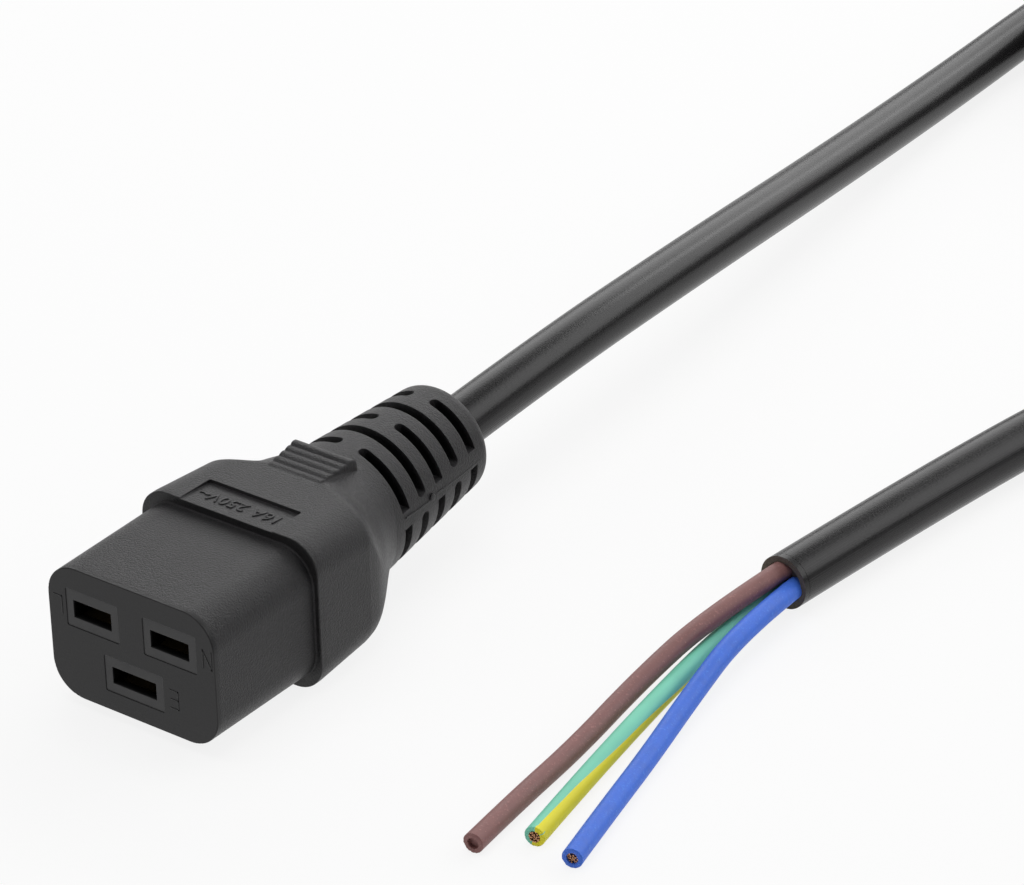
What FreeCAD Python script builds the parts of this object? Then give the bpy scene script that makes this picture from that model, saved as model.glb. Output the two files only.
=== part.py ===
import FreeCAD, Part
from FreeCAD import Vector
from math import atan, cos, degrees, pi, radians, sin, sqrt, tan
import os

# C19 power connector moulded on a three-core cord, with the cord's far end stripped.
# Millimetres. The origin is the centre of the mating face. +Y runs from that face
# towards the cord, +Z is up, and the connector lies on the underside of its collar.

# ---- driving dimensions --------------------------------------------------------------

# Nose: the part that goes into the inlet. It grows towards its root by the mould's draft.
NOSE_WIDTH = 27.9
NOSE_HEIGHT = 19.7
NOSE_CORNER = 4.9
NOSE_LENGTH = 20.0
NOSE_DRAFT_DEG = 0.5
FACE_EDGE_ROUND = 0.12
ROOT_BEAD_PROUD = 0.1
ROOT_BEAD_LENGTH = 0.15

# Pin slots and the towers of the rigid insert around them.
LIVE_PITCH = 13.0
LIVE_ROW_Z = 3.75
EARTH_DROP = 8.0
LIVE_SLOT = (6.4, 2.6)
EARTH_SLOT = (7.4, 2.5)
LIVE_TOWER = (8.8, 5.6)
EARTH_TOWER = (9.9, 5.4)
TOWER_CORNER = 0.25
SLOT_LIP = 1.2
TOWER_SETBACK = 0.08
CAVITY_WALL = 0.85
CARRIER_PLATE = (24.0, 15.0)
CARRIER_PLATE_CORNER = 3.0
CARRIER_PLATE_LENGTH = 5.0
CARRIER_BEYOND_NOSE = 4.0
CARRIER_LENGTH = NOSE_LENGTH + CARRIER_BEYOND_NOSE

# Contacts, folded from brass sheet.
SHEET = 0.4
CONTACT_CLEARANCE = 0.1
CONTACT_SETBACK = 0.4
LEAF_WIDTH_SHARE = 0.84
LEAF_GAP = 1.8
LEAF_MOUTH_GAP = 2.8
LEAF_PINCH_DEPTH = 3.2
CONTACT_BOX_LENGTH = 8.0
CONTACT_BOX_INSET = 2.9
CONTACT_BOX_END = CARRIER_LENGTH - CONTACT_BOX_INSET
CONTACT_SEAM = 0.4
TONGUE_WIDTH = 2.4
TONGUE_LENGTH = 2.6
BARREL_LENGTH = 5.0
BARREL_WALL = 0.5

# Cord: round sheath over three twisted cores.
CORD_DIAMETER = 7.8
CORE_DIAMETER = 2.85
STRAND_DIAMETER = 1.6
STRAND_CLEARANCE = 0.02
CORE_GAP = 0.05
SHEATH_CUT_BEYOND_NOSE = 21.0
SHEATH_CUT_Y = NOSE_LENGTH + SHEATH_CUT_BEYOND_NOSE
LEAD_BARE_LENGTH = 1.0
LEAD_STRAIGHT = 2.9

# Inner mould: the rigid block that locks the crimps and the sheath's end.
INNER_FRONT = (22.0, 13.4)
INNER_FRONT_CORNER = 3.0
INNER_FRONT_LENGTH = 9.0
INNER_MIDDLE_Y = CARRIER_LENGTH + INNER_FRONT_LENGTH
INNER_REAR_DIAMETER = 12.6
INNER_OVER_SHEATH = 2.5

# Housing: collar step, tapering sides, shoulders.
COLLAR_WIDTH = 29.8
COLLAR_HEIGHT = 22.6
COLLAR_CORNER = 4.6
COLLAR_EDGE_ROUND = 0.15
COLLAR_BAND = 1.2
SIDE_TAPER_DEG = 1.5
BOX_LENGTH = 11.1
SHOULDER_LENGTH = 12.4
SHOULDER_START = NOSE_LENGTH + BOX_LENGTH
SHOULDER_END = SHOULDER_START + SHOULDER_LENGTH
SHOULDER_CORNER_GROWTH = 0.9
SHOULDER_TOP_LEAD = 2.6
SHOULDER_STEEPNESS = 1.6
SHOULDER_INSIDE_RELIEF = 0.1
SHOULDER_SECTIONS = 7

# Strain relief: a tapered sleeve with five rows of slots, set a few degrees upwards.
RELIEF_SET_DEG = 3.5
RELIEF_PIVOT_BEYOND_BOX = 2.9
RELIEF_PIVOT_Y = SHOULDER_START + RELIEF_PIVOT_BEYOND_BOX
RELIEF_ROOT_RADIUS = 10.5
RELIEF_IN_SHOULDER = 3.5
RELIEF_ROOT_Y = SHOULDER_END - RELIEF_IN_SHOULDER
RELIEF_LENGTH = 26.5
RELIEF_END_RADIUS = 8.18
RELIEF_END_Y = RELIEF_ROOT_Y + RELIEF_LENGTH
RELIEF_END_ROUND = 1.9
ROW_COUNT = 5
FIRST_ROW_BEYOND_SHOULDER = 1.95
FIRST_ROW_Y = SHOULDER_END + FIRST_ROW_BEYOND_SHOULDER
ROW_PITCH = 4.17
ROW_WIDTH = 1.75
ROW_FLOOR_WALL = 1.6
SIDE_BRIDGE = 2.4
SIDE_BRIDGE_RISE = 1.0
TOP_BRIDGE = 3.1
TOP_BRIDGE_OFFSET = 0.2
TOP_BRIDGE_LEAN = 0.2
ROW_END_ROUND = 0.8

# Thumb grip on the rear of the housing.
GRIP_FRONT_WIDTH = 8.5
GRIP_REAR_WIDTH = 10.1
GRIP_BEYOND_BOX = 1.2
GRIP_START_Y = SHOULDER_START + GRIP_BEYOND_BOX
GRIP_RIBS = 5
GRIP_RIB_PITCH = 1.4
GRIP_RIB_BULGE = 0.22
GRIP_CREST_LENGTH = 1.0
GRIP_CREST_BULGE = 0.2
GRIP_START_RISE = -0.58
GRIP_RIB_RISE = 0.12
GRIP_CREST_RISE = 0.3
GRIP_REAR_ROUND = 0.7
GRIP_REAR_LEAN = 0.3
GRIP_DEPTH = 3.5

# Recessed panel on the top of the housing.
PANEL_WIDTH = 15.6
PANEL_CENTRE_X = -0.3
PANEL_LENGTH = 6.3
PANEL_FRONT_DEPTH = 0.15
PANEL_REAR_DEPTH = 0.5
PANEL_CORNER = 0.35

# Cord's route, from inside the relief to the coil, and from the coil to the bare end.
FLOOR_Z = -COLLAR_HEIGHT / 2
CORD_FLOOR_Z = FLOOR_Z + CORD_DIAMETER / 2
TIE_THICKNESS = 0.8
COIL_Z = CORD_FLOOR_Z + TIE_THICKNESS
COIL_CENTRE = (41.8, 276.0)
COIL_MIDDLE_RADIUS = 46.5
LAYER_RISE = CORD_DIAMETER * sqrt(3) / 2
COIL_CORNER = 3.4
TIE_WIDTH = 14.0
TIE_ANGLE_DEG = 85.0
CORD_STRAIGHT_LENGTH = 19.5
CORD_STRAIGHT_TO_Y = RELIEF_END_Y + CORD_STRAIGHT_LENGTH
CORD_OUT = [
    (-2.6, 134.0, 1.2),
    (-7.9, 178.0, -3.8),
    (-12.0, 221.0, -7.0),
    (-12.9, 250.0, -6.7),
    (-12.5, 270.0, -6.6),
]
CORD_BACK = [
    (92.2, 272.0, 0.15),
    (91.0, 246.0, 0.5),
    (84.5, 214.0, -5.9),
    (73.0, 178.0, -7.4),
    (61.5, 142.0, -7.4),
    (55.8, 106.0, -7.4),
    (52.3, 73.7, -7.4),
]

# Stripped cores at the far end: place in the sheath's cut, then the way to the tip.
CORE_FLOOR_Z = FLOOR_Z + CORE_DIAMETER / 2
CORE_ANGLES_DEG = {"brown_core": 110.0, "blue_core": 350.0, "green_yellow_core": 230.0}
CORE_ROUTES = {
    "brown_core": [(49.6, 58.0, -6.7), (49.3, 43.0, -8.6), (50.7, 27.0, -9.8), (51.6, 13.0), (52.7, 2.6)],
    "green_yellow_core": [(51.0, 58.5, -9.7), (52.6, 43.5), (54.6, 29.5), (56.5, 17.5), (58.1, 8.1)],
    "blue_core": [(54.4, 59.0, -7.3), (56.6, 44.5, -9.0), (59.7, 30.0, -9.8), (62.2, 18.0), (64.7, 6.9)],
}
CORE_RECESS = {"brown_core": 0.7, "green_yellow_core": -0.2, "blue_core": 0.1}

# A corner radius is at most this share of the half side, so that a short straight stays.
ROUNDEST = 0.985
# A cutter reaches this far past what it cuts.
PAST = 1.0

X_AXIS = Vector(1, 0, 0)
Y_AXIS = Vector(0, 1, 0)
Z_AXIS = Vector(0, 0, 1)


# ---- shared shapes -------------------------------------------------------------------

def rounded_rect(width, height, corner, y, x=0.0, z=0.0, top_corner=None):
    """A closed outline of four lines and four arcs in the plane at y."""
    a = width / 2
    b = height / 2
    most = ROUNDEST * min(a, b)
    r = min(corner, most)
    t = min(top_corner or corner, most)
    k = r * (1 - sqrt(0.5))
    j = t * (1 - sqrt(0.5))

    def at(u, v):
        return Vector(x + u, y, z + v)

    edges = [
        Part.LineSegment(at(-a + t, b), at(a - t, b)),
        Part.Arc(at(a - t, b), at(a - j, b - j), at(a, b - t)),
        Part.LineSegment(at(a, b - t), at(a, -b + r)),
        Part.Arc(at(a, -b + r), at(a - k, -b + k), at(a - r, -b)),
        Part.LineSegment(at(a - r, -b), at(-a + r, -b)),
        Part.Arc(at(-a + r, -b), at(-a + k, -b + k), at(-a, -b + r)),
        Part.LineSegment(at(-a, -b + r), at(-a, b - t)),
        Part.Arc(at(-a, b - t), at(-a + j, b - j), at(-a + t, b)),
    ]
    return Part.Wire([edge.toShape() for edge in edges])


def rounded_bar(size, corner, y, length, x=0.0, z=0.0):
    """A rounded rectangle pushed along +Y."""
    outline = rounded_rect(size[0], size[1], corner, y, x, z)
    return Part.Face(outline).extrude(Vector(0, length, 0))


def box(x0, x1, y0, y1, z0, z1):
    return Part.makeBox(x1 - x0, y1 - y0, z1 - z0, Vector(x0, y0, z0))


def centred_box(size, y0, y1, x=0.0, z=0.0):
    return box(x - size[0] / 2, x + size[0] / 2, y0, y1, z - size[1] / 2, z + size[1] / 2)


def disc_bar(radius, y, length, x=0.0, z=0.0):
    return Part.makeCylinder(radius, length, Vector(x, y, z), Y_AXIS)


def edges_at(shape, y):
    """The edges that lie wholly in the plane at y."""
    found = []
    for edge in shape.Edges:
        low = edge.BoundBox.YMin
        high = edge.BoundBox.YMax
        if abs(low - y) < 1e-4 and abs(high - y) < 1e-4:
            found.append(edge)
    return found


def prism_x(points, width, x=0.0):
    """A closed outline of (y, z) points pushed along X, centred on x."""
    corners = [Vector(x - width / 2, y, z) for y, z in points]
    outline = Part.makePolygon(corners + corners[:1])
    return Part.Face(outline).extrude(Vector(width, 0, 0))


def set_up(shape):
    """Turns a shape of the straight strain relief to the slight upward set it has."""
    turned = shape.copy()
    turned.rotate(Vector(0, RELIEF_PIVOT_Y, 0), X_AXIS, RELIEF_SET_DEG)
    return turned


def set_up_point(x, y, z=0.0):
    angle = radians(RELIEF_SET_DEG)
    along = y - RELIEF_PIVOT_Y
    turned_y = along * cos(angle) - z * sin(angle)
    turned_z = along * sin(angle) + z * cos(angle)
    return Vector(x, RELIEF_PIVOT_Y + turned_y, turned_z)


# ---- cords ---------------------------------------------------------------------------

def smooth_path(name, points, report=True):
    """Straight runs through the points, joined by the largest tangent arcs that fit."""
    edges = []
    radii = []
    start = points[0]
    for before, corner, after in zip(points, points[1:], points[2:]):
        back = (before - corner).normalize()
        ahead = (after - corner).normalize()
        turn = pi - back.getAngle(ahead)
        reach = 0.45 * min((before - corner).Length, (after - corner).Length)
        radius = reach / tan(turn / 2)
        enter = corner + back * reach
        leave = corner + ahead * reach
        to_centre = (back + ahead).normalize()
        middle = corner + to_centre * (radius / cos(turn / 2) - radius)
        edges.append(Part.LineSegment(start, enter).toShape())
        edges.append(Part.Arc(enter, middle, leave).toShape())
        radii.append(round(radius, 1))
        start = leave
    edges.append(Part.LineSegment(start, points[-1]).toShape())
    if report:
        print(name, "bend radii", radii)
    return Part.Wire(edges)


def tube_on(path, radius):
    """A round solid along a path."""
    first = path.Edges[0]
    start = first.valueAt(first.FirstParameter)
    ring = Part.Wire([Part.makeCircle(radius, start, first.tangentAt(first.FirstParameter))])
    return path.makePipeShell([ring], True, False)


def check_volume(name, solid, path, area):
    ratio = solid.Volume / (area * path.Length)
    print(name, "length", round(path.Length, 1), "volume over section times length", round(ratio, 4))


def relief_axis_point(y):
    return set_up_point(0.0, y)


def cord_out_points():
    """The cord's route from the sheath's cut in the connector to the coil."""
    first = relief_axis_point(SHEATH_CUT_Y)
    second = relief_axis_point(CORD_STRAIGHT_TO_Y)
    return [first, second] + [Vector(*p) for p in CORD_OUT]


def cord_tube(name, points):
    path = smooth_path(name, points)
    tube = tube_on(path, CORD_DIAMETER / 2)
    check_volume(name, tube, path, pi * CORD_DIAMETER ** 2 / 4)
    return tube


def coil_ring(grow=0.0):
    """The outer shape of the coil: three turns below, two nested above."""
    half = CORD_DIAMETER / 2
    low = COIL_Z - half - grow
    step = COIL_Z + half * 0.4
    high = COIL_Z + LAYER_RISE + half + grow
    wide = 3 * half + grow
    narrow = 2 * half + grow
    section = [
        (COIL_MIDDLE_RADIUS - wide, low),
        (COIL_MIDDLE_RADIUS + wide, low),
        (COIL_MIDDLE_RADIUS + wide, step),
        (COIL_MIDDLE_RADIUS + narrow, high),
        (COIL_MIDDLE_RADIUS - narrow, high),
        (COIL_MIDDLE_RADIUS - wide, step),
    ]
    centre = Vector(COIL_CENTRE[0], COIL_CENTRE[1], 0)
    corners = [centre + Vector(r, 0, z) for r, z in section]
    face = Part.Face(Part.makePolygon(corners + corners[:1]))
    ring = face.revolve(centre, Z_AXIS, 360)
    return ring.makeFillet(COIL_CORNER + grow, ring.Edges)


def coil_tie(ring):
    """A flat strap round the bundle of turns at one place."""
    reach = COIL_MIDDLE_RADIUS * 2
    strap = Part.makeBox(reach, TIE_WIDTH, reach, Vector(0, -TIE_WIDTH / 2, -reach / 2))
    strap.rotate(Vector(0, 0, 0), Z_AXIS, TIE_ANGLE_DEG)
    strap.translate(Vector(COIL_CENTRE[0], COIL_CENTRE[1], 0))
    return coil_ring(TIE_THICKNESS).common(strap).cut(ring)


# ---- connector, from the inside out ----------------------------------------------------

def pin_places():
    """Name, x, z, slot size and tower size of each pole."""
    earth_z = LIVE_ROW_Z - EARTH_DROP
    return [
        ("line", -LIVE_PITCH / 2, LIVE_ROW_Z, LIVE_SLOT, LIVE_TOWER),
        ("neutral", LIVE_PITCH / 2, LIVE_ROW_Z, LIVE_SLOT, LIVE_TOWER),
        ("earth", 0.0, earth_z, EARTH_SLOT, EARTH_TOWER),
    ]


def cavity_size(tower):
    return (tower[0] - 2 * CAVITY_WALL, tower[1] - 2 * CAVITY_WALL)


def contact_carrier_body(front):
    """The insert without its slots and cavities, its towers starting at the y of front."""
    plate_y = CARRIER_LENGTH - CARRIER_PLATE_LENGTH
    plate_z = LIVE_ROW_Z - EARTH_DROP / 2
    body = rounded_bar(CARRIER_PLATE, CARRIER_PLATE_CORNER, plate_y, CARRIER_PLATE_LENGTH, 0.0, plate_z)
    for _, x, z, _, tower in pin_places():
        body = body.fuse(rounded_bar(tower, TOWER_CORNER, front, plate_y + PAST - front, x, z))
    return body.removeSplitter()


def contact_carrier():
    """One insert: a plate with three towers, each with a slot and a contact cavity."""
    body = contact_carrier_body(TOWER_SETBACK)
    for _, x, z, slot, tower in pin_places():
        width, height = cavity_size(tower)
        mouth = centred_box(slot, -PAST, SLOT_LIP + PAST, x, z)
        room = centred_box((width, height), SLOT_LIP, CARRIER_LENGTH + PAST, x, z)
        body = body.cut(mouth).cut(room)
    return body


def contact_length_y():
    """Where the leaves, the box, the tongue and the barrel of a contact begin and end."""
    mouth = SLOT_LIP + CONTACT_SETBACK
    box_start = CONTACT_BOX_END - CONTACT_BOX_LENGTH
    barrel_start = CONTACT_BOX_END + TONGUE_LENGTH
    return mouth, box_start, CONTACT_BOX_END, barrel_start, barrel_start + BARREL_LENGTH


def spring_leaf(height, width, x, z, side):
    """A bent strip that starts flared at the mouth, pinches the pin and meets the box."""
    mouth, box_start, _, _, _ = contact_length_y()
    outer = [
        (mouth, LEAF_MOUTH_GAP / 2),
        (mouth + LEAF_PINCH_DEPTH, LEAF_GAP / 2),
        (box_start + SHEET, height / 2 - SHEET),
    ]
    profile = [(y, z + side * v) for y, v in outer]
    profile += [(y, z + side * (v + SHEET)) for y, v in reversed(outer)]
    return prism_x(profile, width, x)


def contact(x, z, tower):
    """A folded contact: two leaves, a box with a seam, a tongue and a crimp barrel."""
    _, box_start, box_end, barrel_start, barrel_end = contact_length_y()
    room = cavity_size(tower)
    width = room[0] - 2 * CONTACT_CLEARANCE
    height = room[1] - 2 * CONTACT_CLEARANCE
    inner = (width - 2 * SHEET, height - 2 * SHEET)
    shell = rounded_bar((width, height), SHEET * 1.2, box_start, CONTACT_BOX_LENGTH, x, z)
    shell = shell.cut(rounded_bar(inner, SHEET / 2, box_start - PAST, CONTACT_BOX_LENGTH + 2 * PAST, x, z))
    half_seam = CONTACT_SEAM / 2
    seam = box(x - half_seam, x + half_seam, box_start - PAST, box_end + PAST, z + height / 4, z + height)
    shell = shell.cut(seam)
    for side in (1, -1):
        leaf = spring_leaf(height, width * LEAF_WIDTH_SHARE, x, z, side)
        if side > 0:
            leaf = leaf.cut(box(x - half_seam, x + half_seam, box_start, box_end, z, z + height))
        shell = shell.fuse(leaf)
    floor = z - height / 2
    outer_r = STRAND_DIAMETER / 2 + BARREL_WALL
    half_tongue = TONGUE_WIDTH / 2
    tongue = box(x - half_tongue, x + half_tongue, box_end - SHEET, barrel_end, floor, floor + SHEET)
    web = box(x - half_tongue, x + half_tongue, barrel_start, barrel_end, floor, z)
    barrel = disc_bar(outer_r, barrel_start, BARREL_LENGTH, x, z).fuse(web)
    barrel = barrel.cut(disc_bar(STRAND_DIAMETER / 2, barrel_start - PAST, BARREL_LENGTH + 2 * PAST, x, z))
    half_slit = CONTACT_SEAM / 4
    slit = box(x - half_slit, x + half_slit, barrel_start - PAST, barrel_end + PAST, z, z + 2 * outer_r)
    return shell.fuse(tongue).fuse(barrel.cut(slit)).removeSplitter()


def lead_path(x, z, angle_deg):
    """The way of one core from its crimp into the sheath."""
    barrel_end = contact_length_y()[-1]
    ring = core_ring_radius()
    at_x = ring * cos(radians(angle_deg))
    at_z = ring * sin(radians(angle_deg))
    start = Vector(x, barrel_end, z)
    return [
        start,
        start + Vector(0, LEAD_BARE_LENGTH + LEAD_STRAIGHT, 0),
        set_up_point(at_x, SHEATH_CUT_Y - LEAD_STRAIGHT, at_z),
        set_up_point(at_x, SHEATH_CUT_Y, at_z),
    ]


def core_ring_radius():
    """The distance of the three touching cores from the cord's axis."""
    return (CORE_DIAMETER + CORE_GAP) / sqrt(3)


def lead(name, x, z, angle_deg):
    """A core inside the connector: its insulation, and its strands down into the crimp."""
    points = lead_path(x, z, angle_deg)
    path = smooth_path(name + "_lead", points)
    around = (2 * CORE_DIAMETER, 2 * CORE_DIAMETER)
    bare = centred_box(around, points[0].y - PAST, points[0].y + LEAD_BARE_LENGTH, x, z)
    bore = tube_on(path, STRAND_DIAMETER / 2 + STRAND_CLEARANCE)
    cover = tube_on(path, CORE_DIAMETER / 2).cut(bore).cut(bare)
    strands = tube_on(path, STRAND_DIAMETER / 2)
    in_crimp = disc_bar(STRAND_DIAMETER / 2, points[0].y - BARREL_LENGTH, BARREL_LENGTH, x, z)
    return cover, strands.fuse(in_crimp).removeSplitter()


def inner_mould(buried):
    """The block over the crimps and the sheath's end, without what it is moulded round."""
    z = LIVE_ROW_Z - EARTH_DROP / 2
    end_y = SHEATH_CUT_Y + INNER_OVER_SHEATH
    end = relief_axis_point(end_y)
    middle_z = (z + relief_axis_point(INNER_MIDDLE_Y).z) / 2
    rear = INNER_REAR_DIAMETER
    sections = [
        rounded_rect(INNER_FRONT[0], INNER_FRONT[1], INNER_FRONT_CORNER, CARRIER_LENGTH, 0.0, z),
        rounded_rect(INNER_FRONT[0], INNER_FRONT[1], INNER_FRONT_CORNER + 1, INNER_MIDDLE_Y, 0.0, middle_z),
        rounded_rect(rear, rear, rear / 2, end.y, 0.0, end.z),
    ]
    block = Part.makeLoft(sections, True, True)
    for shape in buried:
        block = block.cut(shape)
    return block


# ---- outer mould ---------------------------------------------------------------------

def nose():
    grow = 2 * NOSE_LENGTH * tan(radians(NOSE_DRAFT_DEG))
    face = rounded_rect(NOSE_WIDTH, NOSE_HEIGHT, NOSE_CORNER, 0.0)
    root = rounded_rect(NOSE_WIDTH + grow, NOSE_HEIGHT + grow, NOSE_CORNER + grow / 2, NOSE_LENGTH)
    body = Part.makeLoft([face, root], True, True)
    body = body.makeFillet(FACE_EDGE_ROUND, edges_at(body, 0.0))
    bead = (NOSE_WIDTH + grow + 2 * ROOT_BEAD_PROUD, NOSE_HEIGHT + grow + 2 * ROOT_BEAD_PROUD)
    corner = NOSE_CORNER + grow / 2 + ROOT_BEAD_PROUD
    return body.fuse(rounded_bar(bead, corner, NOSE_LENGTH - ROOT_BEAD_LENGTH, ROOT_BEAD_LENGTH))


def relief_radius(y):
    share = (y - RELIEF_ROOT_Y) / RELIEF_LENGTH
    return RELIEF_ROOT_RADIUS + (RELIEF_END_RADIUS - RELIEF_ROOT_RADIUS) * share


def housing_half(y, size):
    """Half the width or height of the tapering part of the housing at y."""
    start = NOSE_LENGTH + COLLAR_BAND
    return size / 2 - (y - start) * tan(radians(SIDE_TAPER_DEG))


def soft_step(share):
    """A smooth rise from 0 to 1."""
    rise = share ** SHOULDER_STEEPNESS
    return rise / (rise + (1 - share) ** SHOULDER_STEEPNESS)


def housing_section(share):
    """One outline of the shoulder, from the tapered box (0) to the round relief (1)."""
    y = SHOULDER_START + (SHOULDER_END - SHOULDER_START) * share
    blend = soft_step(share)
    top_blend = soft_step(min(1.0, share * SHOULDER_TOP_LEAD))
    end = relief_axis_point(y)
    round_half = relief_radius(y) - SHOULDER_INSIDE_RELIEF
    half_w = housing_half(y, COLLAR_WIDTH) * (1 - blend) + round_half * blend
    half_h = housing_half(y, COLLAR_HEIGHT) * (1 - blend) + round_half * blend
    box_corner = COLLAR_CORNER + SHOULDER_CORNER_GROWTH
    corner = box_corner * (1 - blend) + round_half * blend
    top_corner = box_corner * (1 - top_blend) + round_half * top_blend
    return rounded_rect(2 * half_w, 2 * half_h, corner, y, 0.0, end.z * blend, top_corner)


def housing():
    """Collar with a rounded front edge, tapering sides, and shoulders into the relief."""
    size = (COLLAR_WIDTH, COLLAR_HEIGHT)
    collar = rounded_bar(size, COLLAR_CORNER, NOSE_LENGTH, COLLAR_BAND)
    collar = collar.makeFillet(COLLAR_EDGE_ROUND, edges_at(collar, NOSE_LENGTH))
    front = rounded_rect(COLLAR_WIDTH, COLLAR_HEIGHT, COLLAR_CORNER, NOSE_LENGTH + COLLAR_BAND)
    sides = Part.makeLoft([front, housing_section(0.0)], True, True)
    shares = [i / (SHOULDER_SECTIONS - 1) for i in range(SHOULDER_SECTIONS)]
    shoulder = Part.makeLoft([housing_section(s) for s in shares], True, False)
    return collar.fuse(sides).fuse(shoulder)


def slot_segment(y, below, left=None, bridge_x=0.0):
    """A cutter for one slot: the part of a ring above or below the side bridges."""
    outer = RELIEF_ROOT_RADIUS + PAST
    ring = disc_bar(outer, y - ROW_WIDTH / 2, ROW_WIDTH)
    ring = ring.cut(disc_bar(CORD_DIAMETER / 2 + ROW_FLOOR_WALL, y - ROW_WIDTH, 2 * ROW_WIDTH))
    edge_z = SIDE_BRIDGE_RISE + SIDE_BRIDGE / 2 * (-1 if below else 1)
    x0, x1 = -outer - PAST, outer + PAST
    if left is True:
        x1 = bridge_x - TOP_BRIDGE / 2
    if left is False:
        x0 = bridge_x + TOP_BRIDGE / 2
    if below:
        return ring.common(box(x0, x1, y - ROW_WIDTH, y + ROW_WIDTH, -outer - PAST, edge_z))
    return ring.common(box(x0, x1, y - ROW_WIDTH, y + ROW_WIDTH, edge_z, outer + PAST))


def round_ends(cutter, along):
    """Rounds a cutter's straight corner edges that run along one axis."""
    edges = []
    for edge in cutter.Edges:
        if isinstance(edge.Curve, Part.Line) and abs(edge.tangentAt(edge.FirstParameter).dot(along)) > 0.999:
            edges.append(edge)
    return cutter.makeFillet(ROW_END_ROUND, edges)


def relief_slots():
    """Rows 1, 3 and 5 have a bridge at top and bottom, rows 2 and 4 run over unbroken."""
    cutters = []
    for row in range(ROW_COUNT):
        y = FIRST_ROW_Y + row * ROW_PITCH
        bridge_x = TOP_BRIDGE_OFFSET + (ROW_COUNT - 1 - row) * TOP_BRIDGE_LEAN
        for below in (False, True):
            if row % 2:
                cutters.append(round_ends(slot_segment(y, below), X_AXIS))
            else:
                for left in (True, False):
                    cutters.append(round_ends(slot_segment(y, below, left, bridge_x), Z_AXIS))
    return cutters


def strain_relief():
    root = Vector(0, RELIEF_ROOT_Y, 0)
    sleeve = Part.makeCone(RELIEF_ROOT_RADIUS, RELIEF_END_RADIUS, RELIEF_LENGTH, root, Y_AXIS)
    sleeve = sleeve.makeFillet(RELIEF_END_ROUND, edges_at(sleeve, RELIEF_END_Y))
    for cutter in relief_slots():
        sleeve = sleeve.cut(cutter)
    return set_up(sleeve)


def rib(start, end, bulge):
    """The arc of one rib, from groove to groove."""
    middle = (start + end) * 0.5 + Vector(0, 0, bulge)
    return Part.Arc(start, middle, end).toShape()


def thumb_grip():
    """A wedge with cross ribs that rises towards a rounded crest."""
    top = COLLAR_HEIGHT / 2
    first = Vector(-GRIP_REAR_WIDTH / 2, GRIP_START_Y, top + GRIP_START_RISE)
    grooves = [first + Vector(0, GRIP_RIB_PITCH, GRIP_RIB_RISE) * i for i in range(GRIP_RIBS + 1)]
    crest = Vector(first.x, grooves[-1].y + GRIP_CREST_LENGTH, top + GRIP_CREST_RISE)
    edges = [rib(start, end, GRIP_RIB_BULGE) for start, end in zip(grooves, grooves[1:])]
    edges.append(rib(grooves[-1], crest, GRIP_CREST_BULGE))
    lip = GRIP_REAR_ROUND
    shelf = crest + Vector(0, lip, -lip)
    bend = crest + Vector(0, lip * sin(pi / 4), -lip * (1 - cos(pi / 4)))
    low = top - GRIP_DEPTH
    rear = Vector(crest.x, shelf.y + GRIP_REAR_LEAN, low)
    front = Vector(crest.x, first.y, low)
    edges.append(Part.Arc(crest, bend, shelf).toShape())
    edges.append(Part.LineSegment(shelf, rear).toShape())
    edges.append(Part.LineSegment(rear, front).toShape())
    edges.append(Part.LineSegment(front, first).toShape())
    ribbed = Part.Face(Part.Wire(edges)).extrude(Vector(GRIP_REAR_WIDTH, 0, 0))
    plan = [
        Vector(-GRIP_FRONT_WIDTH / 2, first.y, low),
        Vector(GRIP_FRONT_WIDTH / 2, first.y, low),
        Vector(GRIP_REAR_WIDTH / 2, rear.y, low),
        Vector(-GRIP_REAR_WIDTH / 2, rear.y, low),
    ]
    outline = Part.Face(Part.makePolygon(plan + plan[:1]))
    return ribbed.common(outline.extrude(Vector(0, 0, 2 * GRIP_DEPTH)))


def label_panel():
    """The cutter of the shallow panel, open to the front, whose floor deepens towards its rear."""
    half = PANEL_WIDTH / 2
    lean = degrees(atan((PANEL_REAR_DEPTH - PANEL_FRONT_DEPTH) / PANEL_LENGTH))
    panel = box(-half, half, -PAST, PANEL_LENGTH, -PANEL_FRONT_DEPTH, 3 * PANEL_REAR_DEPTH)
    rear = [e for e in panel.Edges if abs(e.tangentAt(e.FirstParameter).z) > 0.999 and e.BoundBox.YMin > 0]
    panel = panel.makeFillet(PANEL_CORNER, rear)
    panel.rotate(Vector(0, 0, 0), X_AXIS, -SIDE_TAPER_DEG - lean)
    panel.translate(Vector(PANEL_CENTRE_X, NOSE_LENGTH, housing_half(NOSE_LENGTH, COLLAR_HEIGHT)))
    return panel


def outer_mould(buried):
    """Nose, housing, thumb grip and strain relief, moulded in one round everything else."""
    body = nose().fuse(housing()).fuse(strain_relief()).fuse(thumb_grip())
    body = body.cut(label_panel())
    for shape in buried:
        body = body.cut(shape)
    return body


# ---- stripped end --------------------------------------------------------------------

def bare_end_frame():
    """The cut end of the sheath, its direction, and the two directions across it."""
    before = Vector(*CORD_BACK[-2])
    end = Vector(*CORD_BACK[-1])
    along = (end - before).normalize()
    side = Z_AXIS.cross(along).normalize()
    return end, along, side


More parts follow.
